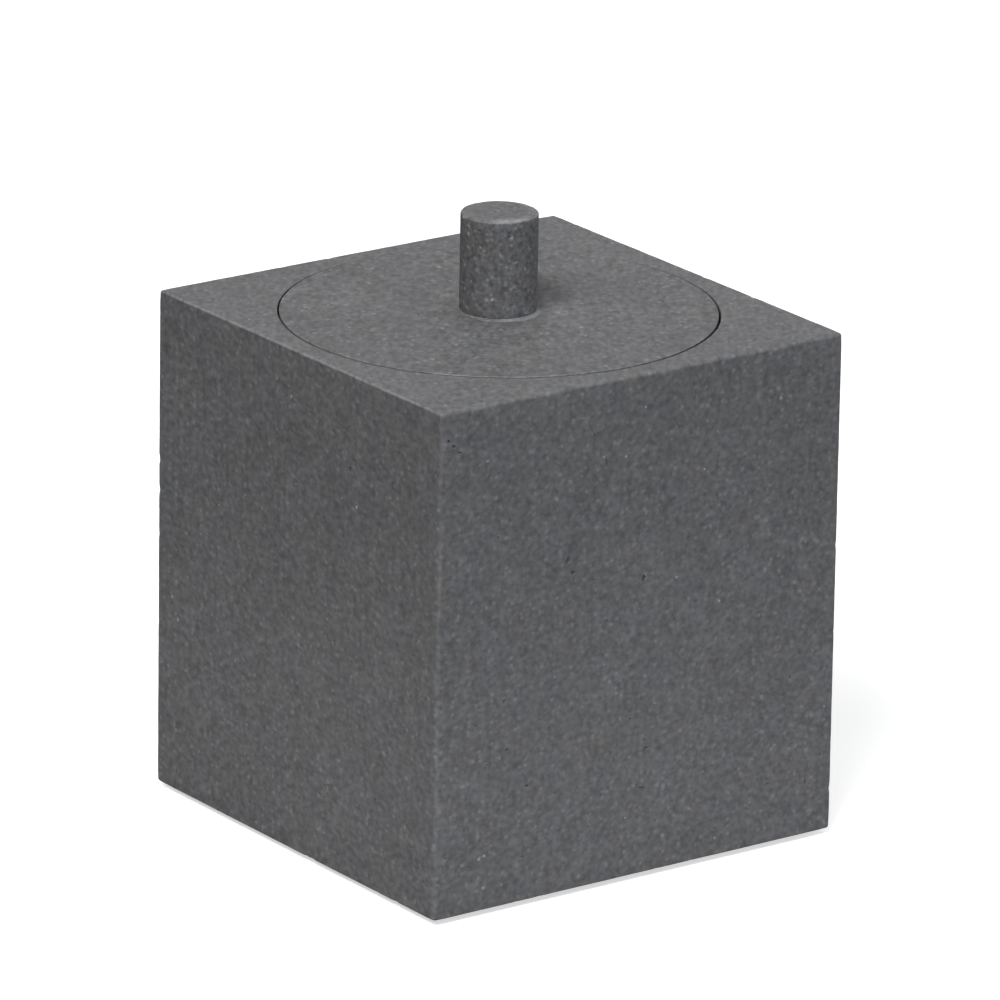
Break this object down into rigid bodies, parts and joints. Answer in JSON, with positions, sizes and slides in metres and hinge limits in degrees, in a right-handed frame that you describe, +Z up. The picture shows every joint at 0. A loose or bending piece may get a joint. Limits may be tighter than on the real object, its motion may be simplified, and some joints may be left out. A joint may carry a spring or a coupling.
{
  "type": "cotton swab holder",
  "caption": "Square honed stone jar for cotton swabs, with a round lid let into its top and a small cylindrical knob to lift it by.",
  "frame": {"origin": "centre of the footprint, on the plane that the four rubber feet stand on", "axes": "+Z up, along the bore and the way that the lid lifts; X and Y square to the block's side faces"},
  "size_m": [0.1, 0.1, 0.1294],
  "materials": {
    "honed_stone": "matte",
    "lid_stone": "matte",
    "knob_stone": "matte",
    "stone_adhesive": "satin",
    "silicone": "matte",
    "foot_rubber": "matte",
    "dowel_steel": "satin"
  },
  "bodies": {
    "holder": {"stone_block": "honed_stone", "foot_front_left": "foot_rubber", "foot_front_right": "foot_rubber", "foot_rear_right": "foot_rubber", "foot_rear_left": "foot_rubber"},
    "seat_ring": {"lid_seat_ring": "silicone"},
    "lid": {"lid_disc": "lid_stone", "knob": "knob_stone", "knob_bond": "stone_adhesive", "knob_dowel": "dowel_steel"}
  },
  "joints": [
    {"name": "lid_turn", "type": "hinge", "parent": "holder", "child": "seat_ring", "pos_m": [0, 0, 0.09745], "axis": [0, 0, 1], "continuous": true},
    {"name": "lid_lift", "type": "slide", "parent": "seat_ring", "child": "lid", "axis": [0, 0, 1], "range_m": [0, 0.12]}
  ]
}
